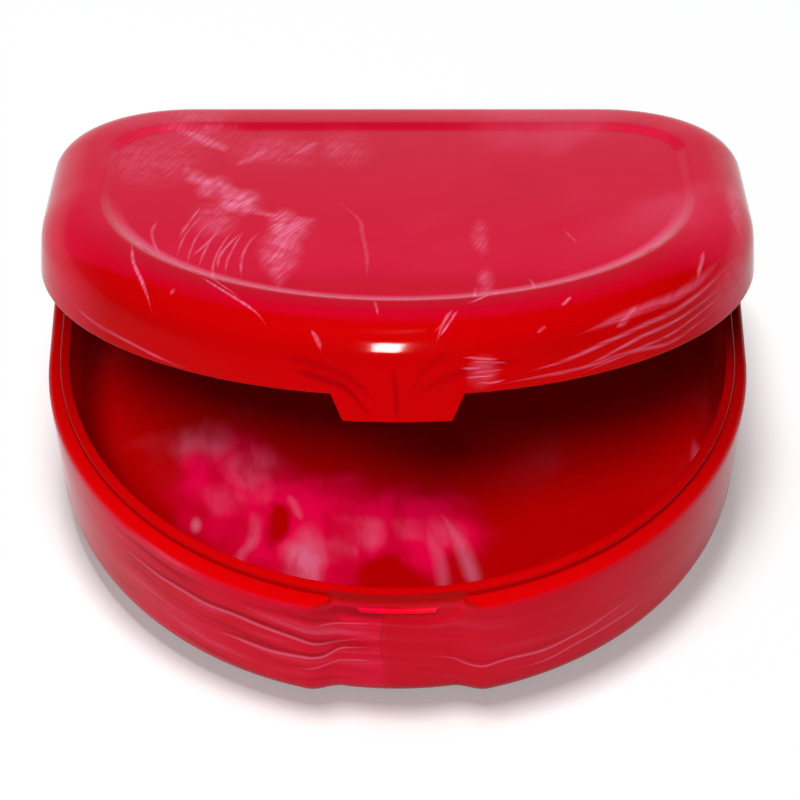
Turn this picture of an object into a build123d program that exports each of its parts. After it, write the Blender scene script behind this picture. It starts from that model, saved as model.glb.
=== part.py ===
from build123d import *
import math
import os

# A hinged case for a dental retainer: a D-shaped tray and a lid that stands part open.
# Frame: +X across, +Y towards the hinge, +Z up.
# The origin is on the table, under the centre of the round front.
# All sizes are in millimetres and degrees.

# Plan shape, the same for tray and lid: half round in front, straight back, round corners
front_radius = 40.0
back_y = 32.0
corner_radius = 16.0

# Tray
shoulder_height = 18.1
wall_draft = 4.0
bottom_radius = 5.0
shoulder_round = 1.2
floor_thickness = 2.0
cavity_draft = 2.0
cavity_floor_radius = 4.0

# Neck that stands up inside the lid's skirt
neck_height = 1.1
neck_inset = 1.5
neck_wall = 1.1
neck_round = 0.4

# Thumb recess down the middle of the front, and the deeper seat for the tab at its top.
# The recess widens outwards by its side slope on each side.
recess_depth = 1.3
recess_floor_half_width = 6.5
recess_side_slope = 1.46
seat_depth = 1.65
seat_half_width = 7.15
seat_height = 3.1
bead_top = 16.85
bead_height = 0.7
bead_proud = 0.45
bead_half_width = 4.5
bead_bevel = 0.3

# Lid, with heights measured up from its rim
lid_height = 8.0
skirt_draft = 3.0
crown_radius = 4.6
skirt_wall = 1.3
roof_thickness = 1.7
lid_inner_radius = 3.0
panel_radius = 33.1
panel_back_y = 22.8
panel_corner = 10.0
panel_depth = 0.4
panel_step = 1.1

# Latch tab under the front of the lid
tab_drop = 2.8
tab_root = 1.0
tab_wall = 1.1
tab_half_width_top = 6.9
tab_half_width_bottom = 5.7
lip_proud = 0.4
lip_height = 0.6
lip_half_width = 4.5
lip_bevel = 0.25

# Two hinges on one line behind the back wall
lid_gap = 0.05
hinge_clearance = 0.35
knuckle_radius = 2.25
pin_radius = 0.8
pin_running_gap = 0.05
pin_end_bevel = 0.15
pin_recess = 0.2
hinge_centre_x = 14.0
lid_knuckle_length = 6.6
knuckle_gap = 0.15
tray_knuckle_length = 3.0
arm_reach = 1.0
arm_near = 1.0
arm_far = 6.0

# The lid stands open by this much in the drawn pose
open_angle = 21.4

# Values that follow from the sizes above
hinge_y = back_y + hinge_clearance + knuckle_radius
hinge_height = shoulder_height + lid_gap
foot_inset = shoulder_height * math.tan(math.radians(wall_draft))
neck_top = shoulder_height + neck_height
seat_floor_radius = front_radius - seat_depth
tab_radius = front_radius + tab_drop * math.tan(math.radians(skirt_draft))
tab_widening = (tab_half_width_top - tab_half_width_bottom) / tab_drop
tab_half_width_root = tab_half_width_top + tab_root * tab_widening
tray_knuckle_offset = lid_knuckle_length / 2 + knuckle_gap
hinge_half_length = tray_knuckle_offset + tray_knuckle_length

# Planes of the lid: its rim plane, and the hinge line with the lid's own tilt
tilt = math.radians(open_angle)
lid_up = Vector(0, math.sin(tilt), math.cos(tilt))
hinge_plane = Plane(origin=(0, hinge_y, hinge_height), x_dir=(1, 0, 0), z_dir=lid_up)
lid_plane = Plane(origin=hinge_plane.from_local_coords((0, -hinge_y, 0)), x_dir=(1, 0, 0), z_dir=lid_up)
lid_axis = Axis(lid_plane.origin, lid_plane.z_dir)


def plan_shape(radius, back, corner):
    """A D-shaped face on XY: half a circle in front, and a straight back with rounded corners."""
    with BuildSketch() as plan:
        with BuildLine():
            CenterArc((0, 0), radius, 180, 180)
            Polyline((radius, 0), (radius, back), (-radius, back), (-radius, 0))
        make_face()
        fillet(plan.vertices().group_by(Axis.Y)[-1], corner)
    return plan.sketch


def inset_plan(inset):
    """The case's plan shape, moved inwards all round."""
    return plan_shape(front_radius - inset, back_y - inset, corner_radius - inset)


def tray_form(inset):
    """The tray's outer form up to its shoulder, moved inwards all round."""
    with BuildPart() as form:
        with BuildSketch():
            add(inset_plan(foot_inset + inset))
        extrude(amount=shoulder_height, taper=-wall_draft)
        fillet(form.faces().sort_by(Axis.Z)[0].edges(), bottom_radius)
    return form.part


def front_strip(plane, outer, inner, height, half_width, bevel=0, bevelled=-1):
    """A strip of a round wall at the middle of the front, standing on a plane.

    A bevel is cut along its outer edges when bevelled is -1, and along its inner edges when it is 0.
    """
    with BuildPart() as strip:
        with BuildSketch(plane):
            Circle(outer)
            Circle(inner, mode=Mode.SUBTRACT)
            with Locations((0, -outer)):
                Rectangle(2 * half_width, outer, mode=Mode.INTERSECT)
        extrude(amount=height)
        if bevel:
            round_edges = strip.edges().filter_by(GeomType.CIRCLE)
            chamfer(round_edges.group_by(SortBy.RADIUS)[bevelled], bevel)
    return strip.part


def knuckle_profile(side):
    """A hinge eye with its arm, drawn about the hinge line; side is 1 upwards or -1 downwards."""
    root = -(hinge_y - back_y) - arm_reach
    reach = math.hypot(root, arm_far)
    lean = math.atan2(arm_far, -root) - math.asin(knuckle_radius / reach)
    run = math.sqrt(reach**2 - knuckle_radius**2)
    touch = (root + run * math.cos(lean), side * (arm_far - run * math.sin(lean)))
    with BuildSketch() as profile:
        Circle(knuckle_radius)
        with BuildLine():
            Polyline((root, side * arm_near), (0, 0), touch, (root, side * arm_far), close=True)
        make_face()
    return profile.sketch


def front_recess():
    """What the thumb recess takes away from the tray's front wall."""
    floor_y = -(front_radius - recess_depth)
    outer_y = floor_y - 2 * recess_depth
    inner_y = floor_y + 2 * recess_depth
    outer_half = recess_floor_half_width + recess_side_slope * (floor_y - outer_y)
    inner_half = recess_floor_half_width + recess_side_slope * (floor_y - inner_y)
    with BuildPart() as recess:
        with BuildSketch():
            with BuildLine():
                Polyline(
                    (-inner_half, inner_y),
                    (inner_half, inner_y),
                    (outer_half, outer_y),
                    (-outer_half, outer_y),
                    close=True,
                )
            make_face()
        extrude(amount=neck_top)
        add(tray_form(recess_depth), mode=Mode.SUBTRACT)
        with BuildSketch(Plane.XY.offset(shoulder_height)):
            Circle(front_radius - recess_depth)
        extrude(amount=neck_height, mode=Mode.SUBTRACT)
    return recess.part


os.makedirs("parts", exist_ok=True)

# Tray: tapered outer form, neck, hollow, front recess with its catch bead, and hinge eyes
with BuildPart() as base_tray:
    add(tray_form(0))
    fillet(base_tray.faces().sort_by(Axis.Z)[-1].edges(), shoulder_round)
    with BuildSketch(Plane.XY.offset(shoulder_height)):
        add(inset_plan(neck_inset))
    extrude(amount=neck_height)
    fillet(base_tray.faces().sort_by(Axis.Z)[-1].edges(), neck_round)
    with BuildSketch(Plane.XY.offset(neck_top)):
        add(inset_plan(neck_inset + neck_wall))
    extrude(amount=-(neck_top - floor_thickness), taper=cavity_draft, mode=Mode.SUBTRACT)
    cavity_floor = base_tray.faces().filter_by(Plane.XY).sort_by(Axis.Z)[1]
    fillet(cavity_floor.edges(), cavity_floor_radius)
    add(front_recess(), mode=Mode.SUBTRACT)
    add(
        front_strip(
            Plane.XY.offset(shoulder_height - seat_height),
            front_radius + shoulder_round,
            seat_floor_radius,
            seat_height,
            seat_half_width,
        ),
        mode=Mode.SUBTRACT,
    )
    add(
        front_strip(
            Plane.XY.offset(bead_top - bead_height),
            seat_floor_radius + bead_proud,
            seat_floor_radius - bead_proud,
            bead_height,
            bead_half_width,
            bead_bevel,
        )
    )
    for hinge_x in (-hinge_centre_x, hinge_centre_x):
        for start_x in (hinge_x - hinge_half_length, hinge_x + tray_knuckle_offset):
            eye_plane = Plane(origin=(start_x, hinge_y, hinge_height), x_dir=(0, 1, 0), z_dir=(1, 0, 0))
            with BuildSketch(eye_plane):
                add(knuckle_profile(-1))
                Circle(pin_radius, mode=Mode.SUBTRACT)
            extrude(amount=tray_knuckle_length)
base_tray.part.label = "base_tray"
export_step(base_tray.part, "parts/base_tray.step")

# Latch tab: a strip of the skirt's outer wall that narrows downwards, below the lid's rim
with BuildPart() as latch_tab:
    with BuildSketch(lid_plane.offset(-tab_drop)):
        Circle(tab_radius)
    extrude(amount=tab_drop + tab_root, taper=skirt_draft)
    with BuildSketch(lid_plane.offset(-tab_drop)):
        Circle(tab_radius - tab_wall)
    extrude(amount=tab_drop + tab_root, taper=skirt_draft, mode=Mode.SUBTRACT)
    with BuildSketch(Plane(origin=lid_plane.origin, x_dir=(1, 0, 0), z_dir=-lid_plane.y_dir)):
        with BuildLine():
            Polyline(
                (-tab_half_width_bottom, -tab_drop),
                (tab_half_width_bottom, -tab_drop),
                (tab_half_width_root, tab_root),
                (-tab_half_width_root, tab_root),
                close=True,
            )
        make_face()
    extrude(amount=2 * front_radius, mode=Mode.INTERSECT)

# Lid: tapered cap with a rounded crown, a sunk top panel, its hollow, the tab and hinge eyes
with BuildPart() as lid:
    with BuildSketch(lid_plane):
        add(inset_plan(0))
    extrude(amount=lid_height, taper=skirt_draft)
    fillet(lid.faces().sort_by(lid_axis)[-1].edges(), crown_radius)
    with BuildSketch(lid_plane.offset(lid_height)):
        add(plan_shape(panel_radius, panel_back_y, panel_corner))
    with BuildSketch(lid_plane.offset(lid_height - panel_depth)):
        add(plan_shape(panel_radius - panel_step, panel_back_y - panel_step, panel_corner - panel_step))
    loft(mode=Mode.SUBTRACT)
    with BuildSketch(lid_plane):
        add(inset_plan(skirt_wall))
    extrude(amount=lid_height - roof_thickness, taper=skirt_draft, mode=Mode.SUBTRACT)
    ceiling = lid.faces().filter_by(lid_axis).sort_by(lid_axis)[1]
    fillet(ceiling.edges(), lid_inner_radius)
    add(latch_tab.part)
    add(
        front_strip(
            lid_plane.offset(-tab_drop),
            tab_radius - tab_wall / 2,
            tab_radius - tab_wall - lip_proud,
            lip_height,
            lip_half_width,
            lip_bevel,
            0,
        )
    )
    for hinge_x in (-hinge_centre_x, hinge_centre_x):
        start_x = hinge_x - lid_knuckle_length / 2
        eye_plane = Plane(
            origin=(start_x, hinge_y, hinge_height), x_dir=lid_plane.y_dir, z_dir=(1, 0, 0)
        )
        with BuildSketch(eye_plane):
            add(knuckle_profile(1))
            Circle(pin_radius + pin_running_gap, mode=Mode.SUBTRACT)
        extrude(amount=lid_knuckle_length)
lid.part.label = "lid"
export_step(lid.part, "parts/lid.step")

# Steel hinge pins, pressed into the tray's eyes and free in the lid's
pin_half_length = hinge_half_length - pin_recess
for side, hinge_x in (("left", -hinge_centre_x), ("right", hinge_centre_x)):
    pin_plane = Plane(
        origin=(hinge_x - pin_half_length, hinge_y, hinge_height), x_dir=(0, 1, 0), z_dir=(1, 0, 0)
    )
    with BuildPart() as hinge_pin:
        with BuildSketch(pin_plane):
            Circle(pin_radius)
        extrude(amount=2 * pin_half_length)
        chamfer(hinge_pin.edges().filter_by(GeomType.CIRCLE), pin_end_bevel)
    hinge_pin.part.label = "hinge_pin_" + side
    export_step(hinge_pin.part, "parts/hinge_pin_" + side + ".step")
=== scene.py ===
import math

import bmesh
import bpy
from mathutils import Matrix, Vector


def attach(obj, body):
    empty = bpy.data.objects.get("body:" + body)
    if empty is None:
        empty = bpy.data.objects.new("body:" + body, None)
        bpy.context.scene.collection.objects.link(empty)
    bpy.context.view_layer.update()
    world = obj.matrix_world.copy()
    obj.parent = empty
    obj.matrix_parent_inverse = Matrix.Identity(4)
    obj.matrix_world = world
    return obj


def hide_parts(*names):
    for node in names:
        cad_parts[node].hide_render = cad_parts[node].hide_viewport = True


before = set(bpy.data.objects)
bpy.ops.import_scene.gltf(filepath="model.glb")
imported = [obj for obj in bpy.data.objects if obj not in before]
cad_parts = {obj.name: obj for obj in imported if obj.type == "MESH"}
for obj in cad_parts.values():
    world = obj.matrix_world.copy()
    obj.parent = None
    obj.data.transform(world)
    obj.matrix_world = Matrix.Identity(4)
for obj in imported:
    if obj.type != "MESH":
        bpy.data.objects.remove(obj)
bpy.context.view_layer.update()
mm = 0.001
tiny = 0.001 * mm
slack = 0.01 * mm        # what places may differ by and still count as the same
facing = 0.9             # a face looks along a direction where its normal is nearer to it than this

# The plan shape of tray and lid: half round in front, straight back, round corners
plan = {
    "radius": 40 * mm,
    "back": 32 * mm,
    "corner": 16 * mm,
    "roundVertices": 720,
    "cornerSegments": 32,
    "sideCuts": 7,
    "backCuts": 23,
    "sideLengths": (10 * mm, 20 * mm),   # a side's straight edge lies between these, the back's is longer
    "turnStep": 12,          # degrees of a rounded edge for each ring of faces
    "fineTurnStep": 4,       # the same for the lid's panel, whose edge is a faint one
    "flatRing": 0.35 * mm,   # a narrow flat ring that keeps large flat faces flat in the shading
    "front": -30 * mm,       # the thumb recess and the latch tab lie further forward
    "mergeDistance": 0.0005 * mm,
    "smoothAngle": 34,
}


def deselectAll():
    if bpy.context.mode != "OBJECT":
        bpy.ops.object.mode_set(mode="OBJECT")
    bpy.ops.object.select_all(action="DESELECT")


def startEditing(piece):
    deselectAll()
    piece.select_set(True)
    bpy.context.view_layer.objects.active = piece
    bpy.ops.object.mode_set(mode="EDIT")


def choose(piece, kind, test):
    # selects the vertices, edges or faces that pass the test, and nothing else
    bpy.ops.mesh.select_mode(type={"verts": "VERT", "edges": "EDGE", "faces": "FACE"}[kind])
    bpy.ops.mesh.select_all(action="DESELECT")
    mesh = bmesh.from_edit_mesh(piece.data)
    for element in getattr(mesh, kind):
        if test(element):
            element.select_set(True)
    mesh.select_flush_mode()
    bmesh.update_edit_mesh(piece.data)


def applyModifier(piece, kind, **settings):
    deselectAll()
    piece.select_set(True)
    bpy.context.view_layer.objects.active = piece
    bpy.ops.object.modifier_add(type=kind)
    modifier = piece.modifiers[-1]
    for name, value in settings.items():
        setattr(modifier, name, value)
    bpy.ops.object.modifier_apply(modifier=modifier.name)


def roundedProfile(corners, turnStep=plan["turnStep"]):
    # corners are (inset, height, radius); every corner with a radius becomes a row of points on its arc
    points = [Vector(corners[0][:2])]
    for before, corner, after in zip(corners, corners[1:], corners[2:]):
        here, radius = Vector(corner[:2]), corner[2]
        if not radius:
            points.append(here)
            continue
        toBefore = (Vector(before[:2]) - here).normalized()
        toAfter = (Vector(after[:2]) - here).normalized()
        half = toBefore.angle(toAfter) / 2
        first = here + toBefore * radius / math.tan(half)
        centre = here + (toBefore + toAfter).normalized() * radius / math.sin(half)
        turn = math.pi - 2 * half
        if toBefore.x * toAfter.y - toBefore.y * toAfter.x > 0:
            turn = -turn
        steps = math.ceil(math.degrees(abs(turn)) / turnStep)
        for step in range(steps + 1):
            arm = first - centre
            arm.rotate(Matrix.Rotation(turn * step / steps, 2))
            points.append(centre + arm)
    points.append(Vector(corners[-1][:2]))
    return points


def startShell(name, inset, height):
    # the case's plan outline as one flat face, made from a circle
    radius, corner = plan["radius"] - inset, plan["corner"] - inset
    back = plan["back"] - inset
    shortest, longest = plan["sideLengths"]
    deselectAll()
    bpy.ops.mesh.primitive_circle_add(
        vertices=plan["roundVertices"], radius=radius, fill_type="NOTHING", location=(0, 0, height)
    )
    shell = bpy.context.object
    shell.name = shell.data.name = name
    bpy.ops.object.transform_apply()
    startEditing(shell)
    choose(shell, "verts", lambda v: v.co.y > tiny)
    bpy.ops.mesh.delete(type="VERT")
    choose(shell, "verts", lambda v: v.co.y > -tiny)
    bpy.ops.mesh.extrude_region_move(TRANSFORM_OT_translate={"value": (0, back, 0)})
    bpy.ops.mesh.edge_face_add()
    bpy.ops.mesh.bevel(
        offset=corner, offset_type="OFFSET", segments=plan["cornerSegments"], affect="VERTICES"
    )
    choose(shell, "edges", lambda e: shortest < e.calc_length() < longest)
    bpy.ops.mesh.subdivide(number_cuts=plan["sideCuts"])
    choose(shell, "edges", lambda e: e.calc_length() > longest)
    bpy.ops.mesh.subdivide(number_cuts=plan["backCuts"])
    bpy.ops.mesh.select_all(action="SELECT")
    bpy.ops.mesh.edge_face_add()
    return shell


def followProfile(shell, points):
    # insets the selected face again and again, along the profile's points
    mesh = bmesh.from_edit_mesh(shell.data)
    side = next(1 if face.normal.z > 0 else -1 for face in mesh.faces if face.select)
    for here, there in zip(points, points[1:]):
        inset, rise = there - here
        bpy.ops.mesh.inset(thickness=max(inset, 0), depth=rise * side, use_even_offset=True)


def openEdgeToFace(shell):
    # closes the open side of the shell with one face, and selects it
    choose(shell, "edges", lambda e: e.is_boundary)
    bpy.ops.mesh.edge_face_add()
    bpy.ops.mesh.select_mode(type="FACE")


def cutWhere(shell, test, places, direction):
    # cuts only the faces that pass the test, with planes across a direction
    for place in places:
        choose(shell, "faces", test)
        bpy.ops.mesh.bisect(plane_co=direction * place, plane_no=direction, threshold=tiny)


def bothSides(*distances):
    return [side * distance for distance in distances for side in (-1, 1)]


def smoothStep(low, high, value):
    share = min(max((value - low) / (high - low), 0), 1)
    return share * share * (3 - 2 * share)


def finishShell(shell):
    # closed, facing outwards, smooth but for its real edges
    startEditing(shell)
    bpy.ops.mesh.select_all(action="SELECT")
    bpy.ops.mesh.remove_doubles(threshold=plan["mergeDistance"])
    bpy.ops.mesh.normals_make_consistent(inside=False)
    bpy.ops.object.mode_set(mode="OBJECT")
    bpy.ops.object.shade_smooth_by_angle(angle=math.radians(plan["smoothAngle"]))


# Tray shell
print("tray shell")
tray = {
    "startHeight": 16.5 * mm,
    "shoulder": 18.1 * mm,
    "draft": 4,
    "bottomRound": 5 * mm,
    "shoulderRound": 1.2 * mm,
    "neckInset": 1.5 * mm,
    "neckWall": 1.1 * mm,
    "neckHeight": 1.1 * mm,
    "neckRound": 0.4 * mm,
    "neckFootRound": 0.15 * mm,
    "mouthRound": 0.15 * mm,
    "floor": 2 * mm,
    "hollowDraft": 2,
    "hollowRound": 4 * mm,
}
recess = {
    "depth": 1.3 * mm,
    "floorHalf": 6 * mm,
    "mouthHalf": 10 * mm,
    "edgeSoftness": 0.3 * mm,
    "seatRadius": 38.35 * mm,
    "seatTopHalf": 7.15 * mm,
    "seatBottomHalf": 6.1 * mm,
    "seatBottom": 15 * mm,
    "seatSoftness": 0.5 * mm,
    "beadHeight": 16.5 * mm,
    "beadHalfHeight": 0.35 * mm,
    "beadProud": 0.45 * mm,
    "beadHalf": 4.5 * mm,
    "beadEnd": 0.35 * mm,
    # rows of edges cut for the seat and the bead, as shares of the soft edge and of the bead's half height
    "seatCuts": (1.1, 0.8, 0.6, 0.4, 0.2, -0.1),
    "slantCuts": (0, 0.25, 0.5, 0.75, 1),
    "beadCuts": (-1.02, -0.98, -0.8, -0.5, 0, 0.5, 0.8, 0.98, 1.02),
}
# How the faces of the tray's front are told from the others
frontSkin = {
    "margin": 0.6 * mm,
    "ledgeRadius": 38.3 * mm,
    "ledgeHeight": 18 * mm,
    "wallRadius": 38.05 * mm,
    "bottomHeight": 5.2 * mm,
    "leaning": 0.02,
}


def trayWallInset(height):
    return (tray["shoulder"] - height) * math.tan(math.radians(tray["draft"]))


def makeTrayShell():
    start = (trayWallInset(tray["startHeight"]), tray["startHeight"])
    neckTop = tray["shoulder"] + tray["neckHeight"]
    mouthInset = tray["neckInset"] + tray["neckWall"]
    floorInset = mouthInset + (neckTop - tray["floor"]) * math.tan(math.radians(tray["hollowDraft"]))
    floorEdge = floorInset + tray["hollowRound"] + plan["flatRing"]
    footEdge = trayWallInset(0) + tray["bottomRound"] + plan["flatRing"]
    shell = startShell("tray_shell", *start)
    followProfile(shell, roundedProfile([
        start,
        (0, tray["shoulder"], tray["shoulderRound"]),
        (tray["neckInset"], tray["shoulder"], tray["neckFootRound"]),
        (tray["neckInset"], neckTop, tray["neckRound"]),
        (mouthInset, neckTop, tray["mouthRound"]),
        (floorInset, tray["floor"], tray["hollowRound"]),
        (floorEdge, tray["floor"]),
    ]))
    openEdgeToFace(shell)
    followProfile(shell, roundedProfile([
        start,
        (trayWallInset(0), 0, tray["bottomRound"]),
        (footEdge, 0),
    ]))
    return shell


def isFrontSkin(face):
    # the outside of the tray's front, from its foot up to the neck's top edge
    centre = face.calc_center_median()
    if centre.y > plan["front"] or abs(centre.x) > recess["mouthHalf"] + frontSkin["margin"]:
        return False
    outwards = Vector((centre.x, centre.y, 0)).normalized().dot(face.normal)
    radius = math.hypot(centre.x, centre.y)
    isHigh = radius > frontSkin["ledgeRadius"] and centre.z > frontSkin["ledgeHeight"]
    onLedge = face.normal.z > facing and isHigh
    onWall = outwards > frontSkin["leaning"] and radius > frontSkin["wallRadius"]
    onBottom = face.normal.z < -frontSkin["leaning"] and centre.z < frontSkin["bottomHeight"]
    return onLedge or onWall or onBottom


def seatShare(x, height):
    # 1 on the floor of the tab's seat, 0 outside it, with soft edges between
    rise = min((height - recess["seatBottom"]) / (tray["shoulder"] - recess["seatBottom"]), 1)
    half = recess["seatBottomHalf"] + (recess["seatTopHalf"] - recess["seatBottomHalf"]) * rise
    soft = recess["seatSoftness"]
    return smoothStep(half + soft, half, x) * smoothStep(
        recess["seatBottom"] - soft, recess["seatBottom"], height
    )


def softMinimum(first, second, softness):
    if softness <= 0:
        return min(first, second)
    share = min(max(0.5 + (second - first) / (2 * softness), 0), 1)
    return second + (first - second) * share - softness * share * (1 - share)


def shapeTrayFront(shell):
    # the thumb recess, the tab's seat at its top and the catch bead on the seat
    across, up = Vector((1, 0, 0)), Vector((0, 0, 1))
    soft = recess["seatSoftness"]
    seatRows = [recess["seatBottom"] - soft * share for share in recess["seatCuts"]]
    beadRows = [recess["beadHeight"] + recess["beadHalfHeight"] * share for share in recess["beadCuts"]]
    seatRise = tray["shoulder"] - recess["seatBottom"]
    seatSpread = recess["seatTopHalf"] - recess["seatBottomHalf"]
    nearSeat = lambda f: isFrontSkin(f) and f.calc_center_median().z > recess["seatBottom"] - soft
    cutWhere(shell, isFrontSkin, bothSides(recess["floorHalf"], recess["mouthHalf"]), across)
    cutWhere(shell, isFrontSkin, seatRows, up)
    cutWhere(shell, nearSeat, beadRows, up)
    for side in (-1, 1):
        slant = Vector((side * seatRise, 0, -seatSpread)).normalized()
        edge = slant.dot(Vector((side * recess["seatTopHalf"], 0, tray["shoulder"])))
        cutWhere(shell, nearSeat, [edge + soft * share for share in recess["slantCuts"]], slant)
    cutWhere(shell, nearSeat, bothSides(recess["beadHalf"], recess["beadHalf"] - recess["beadEnd"]), across)
    choose(shell, "faces", isFrontSkin)
    mesh = bmesh.from_edit_mesh(shell.data)
    for vertex in [v for v in mesh.verts if v.select]:
        x, height = abs(vertex.co.x), vertex.co.z
        radius = math.hypot(vertex.co.x, vertex.co.y)
        recessShare = 1 - smoothStep(recess["floorHalf"], recess["mouthHalf"], x)
        depth = recess["depth"] * recessShare
        wallRadius = plan["radius"] - trayWallInset(min(height, tray["shoulder"]))
        if height > tray["startHeight"]:
            radius = softMinimum(radius, wallRadius - depth, recess["edgeSoftness"] * recessShare)
        else:
            radius -= depth
        radius += (min(radius, recess["seatRadius"]) - radius) * seatShare(x, height)
        fromBead = abs(height - recess["beadHeight"]) / recess["beadHalfHeight"]
        if fromBead < 1 and x < recess["beadHalf"]:
            ending = smoothStep(recess["beadHalf"], recess["beadHalf"] - recess["beadEnd"], x)
            radius += recess["beadProud"] * math.sqrt(1 - fromBead**2) * ending
        vertex.co.y = -math.sqrt(radius**2 - vertex.co.x**2)
    bmesh.update_edit_mesh(shell.data)


trayShell = makeTrayShell()
shapeTrayFront(trayShell)

# Lid shell, made shut and turned open at the end
print("lid shell")
lid = {
    "rim": 18.15 * mm,
    "startHeight": 0.6 * mm,
    "height": 8 * mm,
    "draft": 3,
    "crownRound": 4.6 * mm,
    "rimRound": 0.18 * mm,
    "wall": 1.3 * mm,
    "roof": 1.7 * mm,
    "innerRound": 3 * mm,
    "panelInset": 6.9 * mm,
    "panelBackShift": 2.3 * mm,
    "panelDepth": 0.4 * mm,
    "panelStep": 1.1 * mm,
    "panelRound": 1.5 * mm,
    "panelRing": 1 * mm,
    "openAngle": 21.4,
}
tab = {
    "wall": 1.1 * mm,
    "topHalf": 6.9 * mm,
    "bottomHalf": 5.7 * mm,
    "drop": 2.8 * mm,
    "lipHeight": 0.6 * mm,
    "lipProud": 0.4 * mm,
    "lipHalf": 4.5 * mm,
    "step": 0.05 * mm,
    "cutHalf": 9 * mm,
    "cutHeight": 0.7 * mm,
    "small": 0.004 * mm,
}


def lidWallInset(height):
    return height * math.tan(math.radians(lid["draft"]))


def makeLidShell():
    rim = lid["rim"]
    top = rim + lid["height"]
    ceiling = top - lid["roof"]
    start = (lidWallInset(lid["startHeight"]), rim + lid["startHeight"])
    innerTop = lid["wall"] + lidWallInset(ceiling - rim)
    beforePanel = lid["panelInset"] - lid["panelRound"] / 2
    shell = startShell("lid_shell", *start)
    followProfile(shell, roundedProfile([
        start,
        (lidWallInset(lid["height"]), top, lid["crownRound"]),
        (beforePanel, top),
    ]))
    # the panel's back lies further in than its front, so its sides are shortened and its back is moved
    sideEnd = plan["back"] - plan["corner"]
    isCap = lambda f: len(f.verts) > 4 and f.normal.z > facing
    onCap = lambda v: any(isCap(f) for f in v.link_faces)
    choose(shell, "verts", lambda v: onCap(v) and 0 < v.co.y < sideEnd - slack)
    shorter = 1 - lid["panelBackShift"] / sideEnd
    bpy.ops.transform.resize(value=(1, shorter, 1), center_override=(0, 0, 0))
    choose(shell, "verts", lambda v: onCap(v) and v.co.y > sideEnd - slack)
    bpy.ops.transform.translate(value=(0, -lid["panelBackShift"], 0))
    choose(shell, "faces", isCap)
    panelFloor = top - lid["panelDepth"]
    followProfile(shell, roundedProfile([
        (beforePanel, top),
        (lid["panelInset"], top, lid["panelRound"]),
        (lid["panelInset"] + lid["panelStep"], panelFloor, lid["panelRound"]),
        (lid["panelInset"] + lid["panelStep"] + lid["panelRing"], panelFloor),
    ], plan["fineTurnStep"]))
    openEdgeToFace(shell)
    followProfile(shell, roundedProfile([
        start,
        (0, rim, lid["rimRound"]),
        (tab["wall"], rim, 0),
        (lid["wall"], rim, lid["rimRound"]),
        (innerTop, ceiling, lid["innerRound"]),
        (innerTop + lid["innerRound"] + plan["flatRing"], ceiling),
    ]))
    return shell


def shapeTab(shell):
    across = Vector((1, 0, 0))
    rim = lid["rim"]
    small = tab["small"]

    def nearRim(face):
        centre = face.calc_center_median()
        radius = math.hypot(centre.x, centre.y)
        outside = radius > plan["radius"] - tab["wall"] and centre.z < rim + tab["cutHeight"]
        return centre.y < plan["front"] and abs(centre.x) < tab["cutHalf"] and outside

    def onTab(face):
        centre = face.calc_center_median()
        return nearRim(face) and abs(centre.x) < tab["topHalf"] and face.normal.z < -facing

    cutWhere(shell, nearRim, bothSides(tab["topHalf"], tab["topHalf"] + tab["step"]), across)
    choose(shell, "faces", nearRim)
    mesh = bmesh.from_edit_mesh(shell.data)
    for vertex in [v for v in mesh.verts if v.select]:
        radius = math.hypot(vertex.co.x, vertex.co.y)
        if abs(vertex.co.x) < tab["topHalf"] + small and radius > plan["radius"] - 2 * lid["rimRound"]:
            radius = plan["radius"] - lidWallInset(vertex.co.z - rim)
            vertex.co.y = -math.sqrt(radius**2 - vertex.co.x**2)
    bmesh.update_edit_mesh(shell.data)
    choose(shell, "faces", onTab)
    for drop in (tab["drop"] - tab["lipHeight"], tab["lipHeight"]):
        bpy.ops.mesh.extrude_region_move(TRANSFORM_OT_translate={"value": (0, 0, -drop)})
    choose(shell, "verts", lambda v: v.co.z < rim - small)
    mesh = bmesh.from_edit_mesh(shell.data)
    for vertex in [v for v in mesh.verts if v.select]:
        drop = rim - vertex.co.z
        radius = math.hypot(vertex.co.x, vertex.co.y) + drop * math.tan(math.radians(lid["draft"]))
        narrowing = (tab["topHalf"] - tab["bottomHalf"]) / tab["topHalf"] * drop / tab["drop"]
        vertex.co.x *= 1 - narrowing
        vertex.co.y = -math.sqrt(radius**2 - vertex.co.x**2)
    bmesh.update_edit_mesh(shell.data)

    def onLip(face):
        centre = face.calc_center_median()
        isLow = centre.z < rim - tab["drop"] + tab["lipHeight"]
        return isLow and face.normal.y > facing and abs(centre.x) < tab["bottomHalf"]

    cutWhere(shell, onLip, bothSides(tab["lipHalf"]), across)
    choose(shell, "faces", lambda f: onLip(f) and abs(f.calc_center_median().x) < tab["lipHalf"])
    bpy.ops.mesh.extrude_region_move(TRANSFORM_OT_translate={"value": (0, tab["lipProud"], 0)})


lidShell = makeLidShell()
shapeTab(lidShell)

# Hinge eyes
print("hinge eyes")
hinge = {
    "y": 34.6 * mm,
    "z": 18.15 * mm,
    "radius": 2.25 * mm,
    "pinRadius": 0.8 * mm,
    "lidBore": 0.85 * mm,
    "centres": (-14 * mm, 14 * mm),
    "lidEye": 6.6 * mm,
    "gap": 0.15 * mm,
    "trayEye": 3 * mm,
    "rootY": 31 * mm,
    "near": 1 * mm,
    "far": 6 * mm,
    "vertices": 96,
    "edgeRound": 0.12 * mm,
    "edgeSegments": 2,
    "angleSlack": 0.01,      # radians
    "endAngle": 1.2,         # radians, between the arc's two ends
    "arcShare": 0.99,
}


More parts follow.
